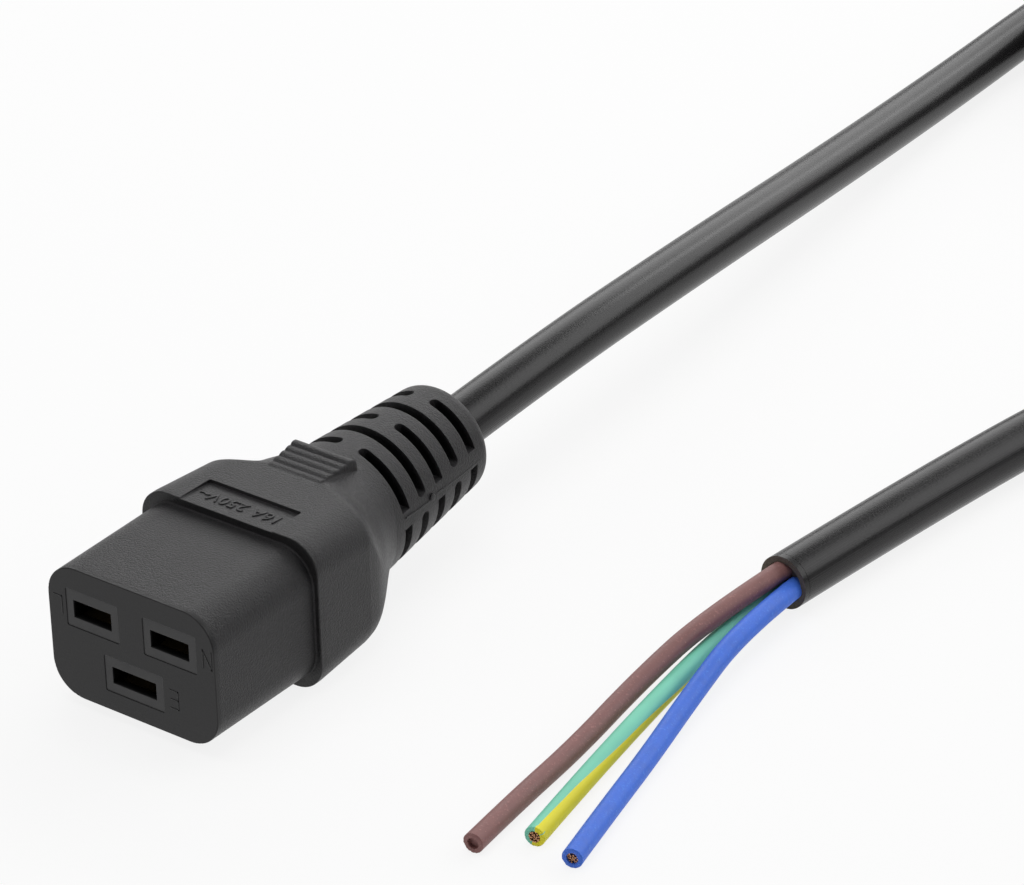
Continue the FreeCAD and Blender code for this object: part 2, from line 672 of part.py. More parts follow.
def stripped_core(name, sheath):
    """One core past the cut: its insulation and its strands."""
    end, along, side = bare_end_frame()
    angle = radians(CORE_ANGLES_DEG[name])
    ring = core_ring_radius()
    start = end + side * (ring * cos(angle)) + Z_AXIS * (ring * sin(angle))
    route = [Vector(*p) if len(p) == 3 else Vector(p[0], p[1], CORE_FLOOR_Z) for p in CORE_ROUTES[name]]
    points = [start] + route
    path = smooth_path(name, points)
    bore = tube_on(path, STRAND_DIAMETER / 2 + STRAND_CLEARANCE)
    whole = tube_on(path, CORE_DIAMETER / 2)
    check_volume(name, whole, path, pi * CORE_DIAMETER ** 2 / 4)
    tip = points[-1]
    out = (points[-1] - points[-2]).normalize()
    strand_tip = tip - out * CORE_RECESS[name]
    strands = tube_on(smooth_path(name, points[:-1] + [strand_tip], False), STRAND_DIAMETER / 2)
    return whole.cut(bore).cut(sheath), strands.cut(sheath)


# ---- build ---------------------------------------------------------------------------

def build():
    parts = {}
    carrier = contact_carrier()
    parts["contact_carrier"] = carrier
    lead_angles = {"line": 140.0, "neutral": 20.0, "earth": 260.0}
    buried = []
    for name, x, z, _, tower in pin_places():
        parts[name + "_contact"] = contact(x, z, tower)
        cover, strands = lead(name, x, z, lead_angles[name])
        parts[name + "_lead"] = cover
        parts[name + "_lead_strands"] = strands
        buried += [parts[name + "_contact"], cover, strands]
    cord = cord_tube("cord_from_connector", cord_out_points())
    parts["inner_mould"] = inner_mould(buried + [cord])
    parts["outer_mould"] = outer_mould([contact_carrier_body(-PAST), inner_mould([]), cord])
    ring = coil_ring()
    cord_back = cord_tube("cord_to_bare_end", [Vector(*p) for p in CORD_BACK])
    parts["cord_from_connector"] = cord
    parts["cord_coil"] = ring
    parts["coil_tie"] = coil_tie(ring)
    parts["cord_to_bare_end"] = cord_back
    for name in CORE_ROUTES:
        parts[name], parts[name + "_strands"] = stripped_core(name, cord_back)
    return parts


def main():
    os.makedirs("parts", exist_ok=True)
    for name, shape in build().items():
        solids = shape.Solids
        print(name, "solids", len(solids), "valid", shape.isValid(), "volume", round(shape.Volume, 2))
        kept = solids[0] if len(solids) == 1 else shape
        kept.exportStep("parts/" + name + ".step")


main()
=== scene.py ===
"""Dresses the C19 power connector: its moulded housing, its cord and the cord's stripped end.

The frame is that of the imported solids: the origin is the middle of the mating face, +Y runs
back towards the cord and +Z is up. The values below are in millimetres, apart from the
stage's, which are in metres.
"""

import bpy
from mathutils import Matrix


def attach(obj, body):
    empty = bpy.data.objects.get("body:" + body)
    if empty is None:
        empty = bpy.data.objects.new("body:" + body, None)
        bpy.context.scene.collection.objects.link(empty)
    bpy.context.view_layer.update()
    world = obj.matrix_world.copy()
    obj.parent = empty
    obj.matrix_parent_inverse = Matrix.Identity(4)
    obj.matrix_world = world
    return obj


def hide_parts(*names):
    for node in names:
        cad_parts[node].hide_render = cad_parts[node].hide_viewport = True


bl_info = {
    "name": "C19 Power Connector",
    "version": (1, 0, 0),
    "blender": (4, 5, 0),
    "location": "View3D > Sidebar > Connector",
    "description": "Models the looks of a moulded C19 power connector on its cord",
    "category": "Object",
}

import math
import random

import bmesh
import bpy
from mathutils import Matrix, Vector

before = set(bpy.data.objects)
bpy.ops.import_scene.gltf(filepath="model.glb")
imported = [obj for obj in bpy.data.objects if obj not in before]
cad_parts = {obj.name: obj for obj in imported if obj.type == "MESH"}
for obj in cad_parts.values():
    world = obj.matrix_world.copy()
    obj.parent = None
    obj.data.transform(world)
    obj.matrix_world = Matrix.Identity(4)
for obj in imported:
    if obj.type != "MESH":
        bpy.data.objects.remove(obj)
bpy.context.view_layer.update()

MM = 0.001
UP = Vector((0, 0, 1))
SMOOTH_BELOW = math.radians(40)

# ---- places that the solids fix ------------------------------------------------------

FLOOR_Z = -11.3
NOSE_LENGTH = 20.0
GRIP_FROM_Y = 32.0
GRIP_TO_Y = 41.5
GRIP_FROM_Z = 10.0
# the strain relief is turned up about a point inside the housing, and narrows backwards
RELIEF_SET = math.radians(3.5)
RELIEF_PIVOT_Y = 34.0
RELIEF_ROOT_Y = 40.0
RELIEF_ROOT_RADIUS = 10.5
RELIEF_NARROWING = 2.32 / 26.5
RELIEF_SLOTS_Y = 43.0
PANEL_MIDDLE = (-0.3, 23.2, 10.9)
PANEL_LEAN = math.radians(4.7)

# ---- the cord's route ----------------------------------------------------------------

CORD_DIAMETER = 7.8
CORE_DIAMETER = 2.85
TIE_THICKNESS = 0.8
CORD_FLOOR_Z = FLOOR_Z + CORD_DIAMETER / 2
CORE_FLOOR_Z = FLOOR_Z + CORE_DIAMETER / 2
SHEATH_CUT_Y = 41.0
STRAIGHT_TO_Y = 86.0
COIL_Z = CORD_FLOOR_Z + TIE_THICKNESS
COIL_CENTRE = Vector((41.8, 276.0, 0.0))
COIL_MIDDLE_RADIUS = 46.5
COIL_TURNS = 4.5
POINTS_PER_TURN = 20
# the share of a turn after which the cord steps over to the next one
STEP_OVER_FROM = 0.72
CORD_OUT = [
    (-2.6, 134.0, 1.2),
    (-7.9, 178.0, -3.8),
    (-12.0, 221.0, -7.0),
    (-12.9, 250.0, -6.7),
    (-12.5, 270.0, -6.6),
]
CORD_BACK = [
    (92.2, 272.0, 0.15),
    (91.0, 246.0, 0.5),
    (84.5, 214.0, -5.9),
    (73.0, 178.0, CORD_FLOOR_Z),
    (61.5, 142.0, CORD_FLOOR_Z),
    (55.8, 106.0, CORD_FLOOR_Z),
    (52.3, 73.7, CORD_FLOOR_Z),
]
# the cores leave the sheath's cut in a ring, each at its angle in degrees
CORE_RING_RADIUS = 1.674
CORE_ANGLES = {"brown": 110.0, "green_yellow": 230.0, "blue": 350.0}
CORE_ROUTES = {
    "brown": [(49.6, 58.0, -6.7), (49.3, 43.0, -8.6), (50.7, 27.0, -9.8), (51.6, 13.0, CORE_FLOOR_Z),
              (52.7, 2.6, CORE_FLOOR_Z)],
    "green_yellow": [(51.0, 58.5, -9.7), (52.6, 43.5, CORE_FLOOR_Z), (54.6, 29.5, CORE_FLOOR_Z),
                     (56.5, 17.5, CORE_FLOOR_Z), (58.1, 8.1, CORE_FLOOR_Z)],
    "blue": [(54.4, 59.0, -7.3), (56.6, 44.5, -9.0), (59.7, 30.0, -9.8), (62.2, 18.0, CORE_FLOOR_Z),
             (64.7, 6.9, CORE_FLOOR_Z)],
}

# ---- the cut ends --------------------------------------------------------------------

SHEATH_END_LENGTH = 0.9
SHEATH_END_DEPTH = 0.8
CORE_END_LENGTH = 0.5
CORE_END_LIP = 0.1
CORE_END_DEPTH = 1.6
WIRE_LENGTH = 3.0
# how far a wire stands out past the core's end, give or take, before the recess is taken off
WIRE_REACH = 0.25
WIRE_UNEVENNESS = 0.12
WIRE_LEAN = 0.03
STRAND_RECESS = {"brown": 0.7, "green_yellow": -0.2, "blue": 0.1}

# ---- the strap round the coil --------------------------------------------------------

TIE_ANGLE = math.radians(85.0)
TIE_CORNER = 3.4
TIE_STEP = 0.7
# where the lines along the strap lie, as shares of its half width
TIE_ACROSS = (-1.0, -0.94, -0.88, -0.5, 0.0, 0.5, 0.88, 0.94, 1.0)
# the tail climbs onto the strap's start, lies a little over one thickness above it, and
# ends rounded and slightly curled up
TIE_CLIMB = 3.0
TIE_PRESSED_HEIGHT = 1.12
TIE_END_TAPER = 1.6
TIE_END_NARROWING = 0.16
TIE_CURL = 0.35
TIE_CURL_LENGTH = 4.0
TIE_EDGE_ROUND = 0.22
TIE_RIB_PITCH = 0.7
TIE_THREAD_PITCH = 0.55
TIE_WEAVE_TO = 6.0

# ---- marks, flash and gate -----------------------------------------------------------

STROKE_WIDTH = 0.17
STROKE_DEPTH = 0.09
# each stroke runs from one (x, z) to another; the letters stand on their heads, as moulded
LETTERS = {
    "mark_line": [((-11.65, 5.0), (-11.65, 2.4)), ((-11.65, 5.0), (-13.0, 5.0))],
    "mark_neutral": [((12.05, 5.1), (12.05, 2.5)), ((13.45, 5.1), (13.45, 2.5)),
                     ((12.05, 5.1), (13.45, 2.5))],
    "mark_earth": [((7.4, -2.95), (7.4, -5.65)), ((7.4, -2.95), (6.05, -2.95)), ((7.4, -4.3), (6.2, -4.3)),
                   ((7.4, -5.65), (6.05, -5.65))],
}
RATING = "16A 250V~"
RATING_DEPTH = 0.3
# a capital's height as a share of the letters' nominal size
CAPITAL_SHARE = 0.7
FLASH_RADIUS = 0.13
FLASH_LINE = [
    (9.93, 45.1, 1.46),
    (9.66, 49.2, 0.8),
    (9.3, 52.6, 0.95),
    (9.04, 56.0, 0.56),
    (8.62, 60.6, 0.2),
    (8.3, 64.0, 0.1),
]
GATE_PLACE = (9.42, 51.5, 1.1)
GATE_RADIUS = 0.55
GATE_LENGTH = 0.5
GATE_ROUND = 0.12

# ---- finishes ------------------------------------------------------------------------

# grain and dust are counted per metre, and edges are the radius that they seem to have
MOULD_GRAIN = 3800.0
MOULD_GRAIN_DEPTH = 0.14
MOULD_EDGE = 0.16
GRIP_EDGE = 0.6
SHEATH_GRAIN = 3200.0
CORE_DUST = 2600.0
# in turns round the core: the twist over its length, where the stripe starts, and half of
# the green's width
STRIPE_TWIST = -0.32
STRIPE_START = 0.39
YELLOW_FROM = 0.225

# ---- the stage, in metres ------------------------------------------------------------

FLOOR_SIZE = 6.0
# how far the floor is lifted to white where it is looked at, and how white it is in reflections
FLOOR_LIFT = 0.85
FLOOR_MIRRORED = 0.85
ROOM_LIGHT = 0.13
# name, place, target, size and power
LAMPS = [
    ("left_softbox", (-0.55, 1.05, 0.56), (0.02, 0.08, 0.02), (1.4, 0.72), 7.0),
    ("top_softbox", (-0.1, 0.05, 1.2), (0.02, 0.05, 0.0), (1.0, 1.0), 6.9),
    ("right_softbox", (0.55, 1.05, 0.6), (0.02, 0.08, 0.02), (1.4, 0.72), 7.4),
    ("front_fill", (-0.5, -1.1, 0.3), (0.0, 0.0, 0.0), (0.8, 0.6), 1.6),
]
CAMERA_TARGET = Vector((0.03271, 0.03877, 0.02383))
CAMERA_AZIMUTH = math.radians(37.02)
CAMERA_ELEVATION = math.radians(29.28)
CAMERA_ROLL = math.radians(-1.325)
CAMERA_DISTANCE = 0.5811
CAMERA_LENS = 159.36
CAMERA_SENSOR = 36.0


# ---- what a user would change --------------------------------------------------------

def colour_property(name, description, default):
    return bpy.props.FloatVectorProperty(
        name=name, description=description, default=default, subtype="COLOR", size=3, min=0.0, max=1.0
    )


def length_property(name, description, default):
    """A length that Blender keeps in metres, from its default in millimetres."""
    return bpy.props.FloatProperty(
        name=name, description=description, default=default * MM, unit="LENGTH", min=0.0, precision=5
    )


class ConnectorSizes(bpy.types.PropertyGroup):
    """Sizes of the cord and of the fine pieces that the scene adds."""

    cord_diameter: length_property("Cord diameter", "Outside diameter of the cord's sheath", CORD_DIAMETER)
    core_diameter: length_property("Core diameter", "Outside diameter of one insulated core", CORE_DIAMETER)
    bundle_diameter: length_property("Bundle diameter", "Diameter of a core's copper bundle", 1.6)
    sheath_wall: length_property("Sheath wall", "Thickness of the sheath at its cut end", 0.85)
    wire_diameter: length_property("Wire diameter", "Diameter of one fine copper wire", 0.25)
    tie_width: length_property("Tie width", "Width of the strap round the coil", 14.0)
    tie_thickness: length_property("Tie thickness", "Thickness of the strap round the coil", TIE_THICKNESS)
    tie_overlap: length_property("Tie overlap", "How far the strap's tail lies over its start", 27.0)
    rating_height: length_property("Rating height", "Height of the rating's letters", 2.1)


class ConnectorColours(bpy.types.PropertyGroup):
    """Colours of the moulded plastics, the cores and the floor."""

    housing: colour_property("Housing", "Flexible PVC of the moulded housing", (0.0175, 0.0166, 0.0180))
    carrier: colour_property("Carrier", "Rigid plastic round the contacts", (0.0240, 0.0234, 0.0246))
    sheath: colour_property("Sheath", "PVC of the cord's sheath", (0.0135, 0.0129, 0.0135))
    sheath_cut: colour_property("Sheath cut", "Freshly cut end of the sheath", (0.105, 0.085, 0.070))
    brown: colour_property("Brown core", "Insulation of the line core", (0.290, 0.140, 0.132))
    blue: colour_property("Blue core", "Insulation of the neutral core", (0.062, 0.190, 0.820))
    green: colour_property("Green stripe", "Green half of the earth core", (0.230, 0.740, 0.540))
    yellow: colour_property("Yellow stripe", "Yellow half of the earth core", (1.000, 0.880, 0.035))
    copper: colour_property("Copper", "Bare copper wires", (0.620, 0.320, 0.180))
    brass: colour_property("Brass", "Folded brass contacts", (0.200, 0.150, 0.075))
    inner: colour_property("Inner block", "Rigid plastic sealed inside", (0.550, 0.540, 0.500))
    tie: colour_property("Tie", "Strap round the coil", (0.020, 0.020, 0.021))
    floor: colour_property("Floor", "Plain floor under the part", (0.950, 0.950, 0.950))


def sizes():
    return bpy.context.scene.connector_sizes


def colours():
    return bpy.context.scene.connector_colours


# ---- nodes ---------------------------------------------------------------------------

class Shader:
    """A material's node tree, with short calls for the nodes used here."""

    def __init__(self, name, colour, roughness, metallic=0.0, specular=0.5):
        self.material = bpy.data.materials.new(name)
        self.material.use_nodes = True
        self.tree = self.material.node_tree
        self.surface = self.tree.nodes["Principled BSDF"]
        self.surface.inputs["Base Color"].default_value = (*colour, 1.0)
        self.surface.inputs["Roughness"].default_value = roughness
        self.surface.inputs["Metallic"].default_value = metallic
        self.surface.inputs["Specular IOR Level"].default_value = specular
        self.place = self.node("ShaderNodeTexCoord").outputs["Object"]

    def node(self, kind, **settings):
        made = self.tree.nodes.new(kind)
        for key, value in settings.items():
            setattr(made, key, value)
        return made

    def link(self, source, target):
        self.tree.links.new(source, target)

    def noise(self, scale, detail=2.0, roughness=0.5, place=None):
        made = self.node("ShaderNodeTexNoise")
        made.inputs["Scale"].default_value = scale
        made.inputs["Detail"].default_value = detail
        made.inputs["Roughness"].default_value = roughness
        self.link(place or self.place, made.inputs["Vector"])
        return made.outputs["Fac"]

    def stretched(self, factors, source=None):
        made = self.node("ShaderNodeMapping")
        made.inputs["Scale"].default_value = factors
        self.link(source or self.place, made.inputs["Vector"])
        return made.outputs["Vector"]

    def remap(self, value, from_low, from_high, to_low=0.0, to_high=1.0):
        made = self.node("ShaderNodeMapRange")
        made.inputs["From Min"].default_value = from_low
        made.inputs["From Max"].default_value = from_high
        made.inputs["To Min"].default_value = to_low
        made.inputs["To Max"].default_value = to_high
        self.link(value, made.inputs["Value"])
        return made.outputs["Result"]

    def mix(self, factor, first, second):
        made = self.node("ShaderNodeMix", data_type="RGBA")
        self.link(factor, made.inputs["Factor"])
        for value, socket in ((first, made.inputs["A"]), (second, made.inputs["B"])):
            if isinstance(value, tuple):
                socket.default_value = value
            else:
                self.link(value, socket)
        return made.outputs["Result"]

    def math(self, operation, first, second=0.0):
        made = self.node("ShaderNodeMath", operation=operation)
        for value, socket in ((first, made.inputs[0]), (second, made.inputs[1])):
            if isinstance(value, float):
                socket.default_value = value
            else:
                self.link(value, socket)
        return made.outputs["Value"]

    def times(self, first, second):
        return self.math("MULTIPLY", first, second)

    def plus(self, first, second):
        return self.math("ADD", first, second)

    def minus(self, first, second):
        return self.math("SUBTRACT", first, second)

    def part_of_place(self, axis):
        made = self.node("ShaderNodeSeparateXYZ")
        self.link(self.place, made.inputs["Vector"])
        return made.outputs[axis]

    def part_of_map(self, axis):
        made = self.node("ShaderNodeSeparateXYZ")
        self.link(self.node("ShaderNodeTexCoord").outputs["UV"], made.inputs["Vector"])
        return made.outputs[axis]

    def bump(self, height, distance, strength, under=None):
        made = self.node("ShaderNodeBump")
        made.inputs["Distance"].default_value = distance
        made.inputs["Strength"].default_value = strength
        self.link(height, made.inputs["Height"])
        if under is not None:
            self.link(under, made.inputs["Normal"])
        return made.outputs["Normal"]

    def soft_edges(self, radius):
        made = self.node("ShaderNodeBevel", samples=6)
        if isinstance(radius, float):
            made.inputs["Radius"].default_value = radius
        else:
            self.link(radius, made.inputs["Radius"])
        return made.outputs["Normal"]

    def alike(self, normal):
        """How nearly a rounded normal is the surface's own: 1 away from edges, less on them."""
        made = self.node("ShaderNodeVectorMath", operation="DOT_PRODUCT")
        self.link(normal, made.inputs[0])
        self.link(self.node("ShaderNodeNewGeometry").outputs["Normal"], made.inputs[1])
        return made.outputs["Value"]

    def colour_from(self, output):
        self.link(output, self.surface.inputs["Base Color"])

    def roughness_from(self, output):
        self.link(output, self.surface.inputs["Roughness"])

    def normal_from(self, output):
        self.link(output, self.surface.inputs["Normal"])


def shade(colour, factor):
    """A colour made lighter or darker, with full alpha."""
    return (*(min(1.0, channel * factor) for channel in colour), 1.0)


# ---- materials -----------------------------------------------------------------------

def depth_in_slots(s):
    """How far a place lies below the strain relief's outside, in metres."""
    x = s.part_of_place("X")
    y = s.part_of_place("Y")
    along = s.minus(y, RELIEF_PIVOT_Y * MM)
    z = s.minus(s.part_of_place("Z"), s.times(along, math.tan(RELIEF_SET)))
    radius = s.math("SQRT", s.plus(s.times(x, x), s.times(z, z)))
    narrowing = s.times(s.minus(y, RELIEF_ROOT_Y * MM), RELIEF_NARROWING)
    outside = s.minus(RELIEF_ROOT_RADIUS * MM, narrowing)
    behind_shoulder = s.remap(y, RELIEF_SLOTS_Y * MM, (RELIEF_SLOTS_Y + 0.6) * MM)
    return s.times(s.minus(outside, radius), behind_shoulder)


def on_grip(s):
    """1 on the thumb grip's ribs and 0 elsewhere."""
    y = s.part_of_place("Y")
    behind_front = s.remap(y, GRIP_FROM_Y * MM, (GRIP_FROM_Y + 0.5) * MM)
    before_back = s.remap(y, (GRIP_TO_Y - 0.5) * MM, GRIP_TO_Y * MM, 1.0, 0.0)
    above_housing = s.remap(s.part_of_place("Z"), GRIP_FROM_Z * MM, (GRIP_FROM_Z + 0.4) * MM)
    return s.times(s.times(behind_front, before_back), above_housing)


def painted_nose_foot_shade(s):
    """How much painted shade a place gets where the nose meets the collar."""
    y = s.part_of_place("Y")
    nearing = s.remap(y, (NOSE_LENGTH - 2.4) * MM, NOSE_LENGTH * MM, 0.0, 0.55)
    before_collar = s.remap(y, (NOSE_LENGTH + 0.12) * MM, (NOSE_LENGTH + 0.2) * MM, 1.0, 0.0)
    return s.times(nearing, before_collar)


def grained_pvc():
    """Charcoal PVC from a spark-eroded mould: fine grain, smoother on the mating face."""
    colour = colours().housing
    s = Shader("housing_pvc", colour, 0.5, specular=0.37)
    s.surface.inputs["Sheen Weight"].default_value = 0.12
    s.surface.inputs["Sheen Roughness"].default_value = 0.22
    grain = s.noise(MOULD_GRAIN, 3.0, 0.62)
    cloud = s.noise(160.0, 2.0, 0.5)
    behind_face = s.remap(s.part_of_place("Y"), 0.25 * MM, 0.9 * MM)
    lightness = s.times(s.plus(s.times(cloud, 0.35), 0.45), behind_face)
    speckle = s.times(s.minus(grain, 0.5), behind_face)
    skin = s.mix(s.plus(lightness, s.times(speckle, 2.4)), shade(colour, 0.66), shade(colour, 1.32))
    # painted shade: darker on the nose towards the collar, and on the collar's front step
    skin = s.mix(painted_nose_foot_shade(s), skin, shade(colour, 0.3))
    # painted shade: much darker deep inside the strain relief's slots
    skin = s.mix(s.remap(depth_in_slots(s), 0.35 * MM, 0.9 * MM), skin, shade(colour, 0.22))
    rounded = s.soft_edges(s.remap(on_grip(s), 0.0, 1.0, MOULD_EDGE * MM, GRIP_EDGE * MM))
    # painted highlight: lighter along the rounded edges, but not on the mating face
    edge = s.times(s.remap(s.alike(rounded), 0.985, 0.86), behind_face)
    s.colour_from(s.mix(s.times(edge, 0.7), skin, shade(colour, 3.2)))
    s.roughness_from(s.remap(grain, 0.3, 0.7, 0.34, 0.48))
    height = s.times(grain, s.plus(s.times(behind_face, 0.85), 0.15))
    s.normal_from(s.bump(height, MOULD_GRAIN_DEPTH * MM, 1.0, rounded))
    return s.material


def carrier_plastic():
    """The hard, smoother plastic of the towers round the pin slots."""
    colour = colours().carrier
    s = Shader("carrier_plastic", colour, 0.42)
    cloud = s.noise(420.0, 2.0, 0.5)
    face = s.mix(cloud, shade(colour, 0.85), shade(colour, 1.15))
    # painted shade: darker from 0.15 mm behind the mating face and nearly black past 0.5 mm, inside the slots
    inside = s.remap(s.part_of_place("Y"), 0.15 * MM, 0.5 * MM)
    s.colour_from(s.mix(inside, face, shade(colour, 0.1)))
    s.roughness_from(s.remap(cloud, 0.3, 0.7, 0.38, 0.48))
    s.normal_from(s.bump(s.noise(5200.0, 2.0, 0.5), 0.012 * MM, 0.5, s.soft_edges(0.12 * MM)))
    return s.material


def sheath_pvc():
    """Satin extruded PVC with faint drawn lines along the cord."""
    colour = colours().sheath
    s = Shader("sheath_pvc", colour, 0.38, specular=0.30)
    along = s.node("ShaderNodeTexCoord").outputs["UV"]
    lines = s.noise(9.0, 3.0, 0.6, s.stretched((4.0, 14.0, 1.0), along))
    cloud = s.noise(240.0, 2.0, 0.5)
    grain = s.noise(SHEATH_GRAIN, 3.0, 0.6)
    speckle = s.plus(cloud, s.times(s.minus(grain, 0.5), 2.0))
    s.colour_from(s.mix(speckle, shade(colour, 0.75), shade(colour, 1.35)))
    s.roughness_from(s.remap(lines, 0.3, 0.7, 0.22, 0.30))
    s.normal_from(s.bump(grain, 0.025 * MM, 0.7))
    return s.material


def cut_sheath():
    """The sheath's cut face: torn, matt and a little brown."""
    colour = colours().sheath_cut
    s = Shader("sheath_cut", colour, 0.75)
    torn = s.noise(2600.0, 4.0, 0.65)
    s.colour_from(s.mix(torn, shade(colour, 0.5), shade(colour, 1.5)))
    s.normal_from(s.bump(torn, 0.12 * MM, 0.8))
    return s.material


def core_pvc(name, colour):
    """Satin core insulation with fine dust on it."""
    s = Shader(name, colour, 0.5, specular=0.35)
    dust = s.noise(CORE_DUST, 3.0, 0.6)
    cloud = s.noise(420.0, 3.0, 0.6)
    base = s.mix(cloud, shade(colour, 0.82), shade(colour, 1.18))
    speck = s.remap(dust, 0.58, 0.68, 0.0, 0.45)
    s.colour_from(s.mix(speck, base, shade(colour, 1.9)))
    s.roughness_from(s.remap(cloud, 0.3, 0.7, 0.42, 0.56))
    s.normal_from(s.bump(dust, 0.03 * MM, 0.6))
    return s.material


def striped_core_pvc():
    """Green and yellow halves whose border winds slowly round the core."""
    green = colours().green
    yellow = colours().yellow
    s = Shader("core_green_yellow", green, 0.5, specular=0.35)
    wobble = s.times(s.noise(90.0, 1.0, 0.5), 0.04)
    round_core = s.plus(s.part_of_map("Y"), s.times(s.part_of_map("X"), STRIPE_TWIST))
    turned = s.math("FRACT", s.plus(s.plus(round_core, STRIPE_START), wobble))
    away = s.math("ABSOLUTE", s.minus(turned, 0.5))
    is_yellow = s.remap(away, YELLOW_FROM, YELLOW_FROM + 0.01)
    cloud = s.noise(220.0, 2.0, 0.5)
    green_side = s.mix(cloud, shade(green, 0.9), shade(green, 1.1))
    yellow_side = s.mix(cloud, shade(yellow, 0.93), shade(yellow, 1.05))
    s.colour_from(s.mix(is_yellow, green_side, yellow_side))
    s.normal_from(s.bump(s.noise(1900.0, 3.0, 0.6), 0.014 * MM, 0.5))
    return s.material


def bare_copper():
    """Drawn copper, tarnished in places."""
    colour = colours().copper
    s = Shader("copper", colour, 0.34, metallic=1.0)
    tarnish = s.noise(1700.0, 3.0, 0.6)
    s.colour_from(s.mix(tarnish, shade(colour, 0.6), shade(colour, 1.1)))
    s.roughness_from(s.remap(tarnish, 0.3, 0.7, 0.28, 0.5))
    return s.material


def rolled_brass():
    """Brass sheet with the rolling's lines along the contacts."""
    colour = colours().brass
    s = Shader("contact_brass", colour, 0.45, metallic=1.0)
    rolled = s.noise(900.0, 2.0, 0.5, s.stretched((4.0, 0.3, 4.0)))
    s.colour_from(s.mix(rolled, shade(colour, 0.82), shade(colour, 1.05)))
    s.roughness_from(s.remap(rolled, 0.3, 0.7, 0.4, 0.55))
    return s.material


def inner_plastic():
    """The pale plastic of the block sealed inside the housing."""
    colour = colours().inner
    s = Shader("inner_plastic", colour, 0.5)
    cloud = s.noise(300.0, 2.0, 0.5)
    s.colour_from(s.mix(cloud, shade(colour, 0.92), shade(colour, 1.05)))
    return s.material


def tie_strap():
    """Woven strap: ribs across a matt black band, between two plain edges, with a little fluff."""
    colour = colours().tie
    s = Shader("tie_plastic", colour, 0.75)
    across = s.part_of_map("Y")
    ribs = s.math("SINE", s.times(s.part_of_map("X"), 2 * math.pi / TIE_RIB_PITCH))
    threads = s.math("SINE", s.times(across, 2 * math.pi / TIE_THREAD_PITCH))
    woven = s.remap(s.math("ABSOLUTE", across), TIE_WEAVE_TO - 0.1, TIE_WEAVE_TO + 0.1, 1.0, 0.0)
    weave = s.times(s.plus(ribs, s.times(threads, 0.5)), woven)
    height = s.plus(s.times(weave, 0.3), s.noise(2400.0, 3.0, 0.6))
    # painted shade and highlight: darker in the weave's grooves and lighter on its ribs, with random fluff
    # tone on top
    s.colour_from(s.mix(s.remap(height, 0.2, 0.9), shade(colour, 0.55), shade(colour, 1.7)))
    s.normal_from(s.bump(height, 0.12 * MM, 0.9))
    return s.material


def make_materials():
    colour = colours()
    return {
        "housing_pvc": grained_pvc(),
        "carrier_plastic": carrier_plastic(),
        "sheath_pvc": sheath_pvc(),
        "sheath_cut": cut_sheath(),
        "core_brown": core_pvc("core_brown", tuple(colour.brown)),
        "core_blue": core_pvc("core_blue", tuple(colour.blue)),
        "core_green_yellow": striped_core_pvc(),
        "copper": bare_copper(),
        "contact_brass": rolled_brass(),
        "inner_plastic": inner_plastic(),
        "tie_plastic": tie_strap(),
    }


# ---- modelling helpers ---------------------------------------------------------------

def deselect_all():
    if bpy.context.object and bpy.context.object.mode != "OBJECT":
        bpy.ops.object.mode_set(mode="OBJECT")
    bpy.ops.object.select_all(action="DESELECT")


def select_only(pieces):
    """Selects these pieces and nothing else, and makes the first of them active."""
    deselect_all()
    for piece in pieces:
        piece.select_set(True)
    bpy.context.view_layer.objects.active = pieces[0]


def add_object(name, data):
    piece = bpy.data.objects.new(name, data)
    bpy.context.scene.collection.objects.link(piece)
    return piece


def settle(piece, name, place=None):
    """Names a piece and puts its place into its mesh."""
    piece.name = name
    piece.data.name = name
    if place is not None:
        piece.matrix_world = place @ piece.matrix_world
    select_only([piece])
    bpy.ops.object.transform_apply(location=True, rotation=True, scale=True)
    return piece


def join(pieces):
    """Puts the pieces' places into their meshes and makes them one."""
    select_only(pieces)
    bpy.ops.object.transform_apply(location=True, rotation=True, scale=True)
    bpy.ops.object.join()
    return bpy.context.object


def edit_top(piece):
    """Goes into edit mode with only the faces selected that look up."""
    bpy.ops.object.mode_set(mode="EDIT")
    bpy.ops.mesh.select_mode(type="FACE")
    bpy.ops.mesh.select_all(action="DESELECT")
    bpy.ops.object.mode_set(mode="OBJECT")
    for face in piece.data.polygons:
        face.select = face.normal.z > 0.9
    bpy.ops.object.mode_set(mode="EDIT")


def leave_edit(piece):
    """Turns every face outwards, and sorts the faces, which an inset leaves in any order."""
    bpy.ops.mesh.select_all(action="SELECT")
    bpy.ops.mesh.normals_make_consistent(inside=False)
    bpy.ops.object.mode_set(mode="OBJECT")
    bm = bmesh.new()
    bm.from_mesh(piece.data)
    by_corners = sorted(bm.faces, key=lambda face: sorted(vertex.index for vertex in face.verts))
    for number, face in enumerate(by_corners):
        face.index = number
    bm.faces.sort()
    bm.to_mesh(piece.data)
    bm.free()


def finish_piece(piece, material):
    """Gives a piece its finish, and ties it to the part."""
    piece.data.materials.clear()
    piece.data.materials.append(material)
    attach(piece, "root")
    return piece


def metres(point):
    return Vector(point) * MM


def on_relief(point):
    """A place on the strain relief, from the coordinates it has before the relief is set up."""
    x, y, z = point
    along = y - RELIEF_PIVOT_Y
    level = RELIEF_PIVOT_Y + along * math.cos(RELIEF_SET) - z * math.sin(RELIEF_SET)
    return (x, level, along * math.sin(RELIEF_SET) + z * math.cos(RELIEF_SET))


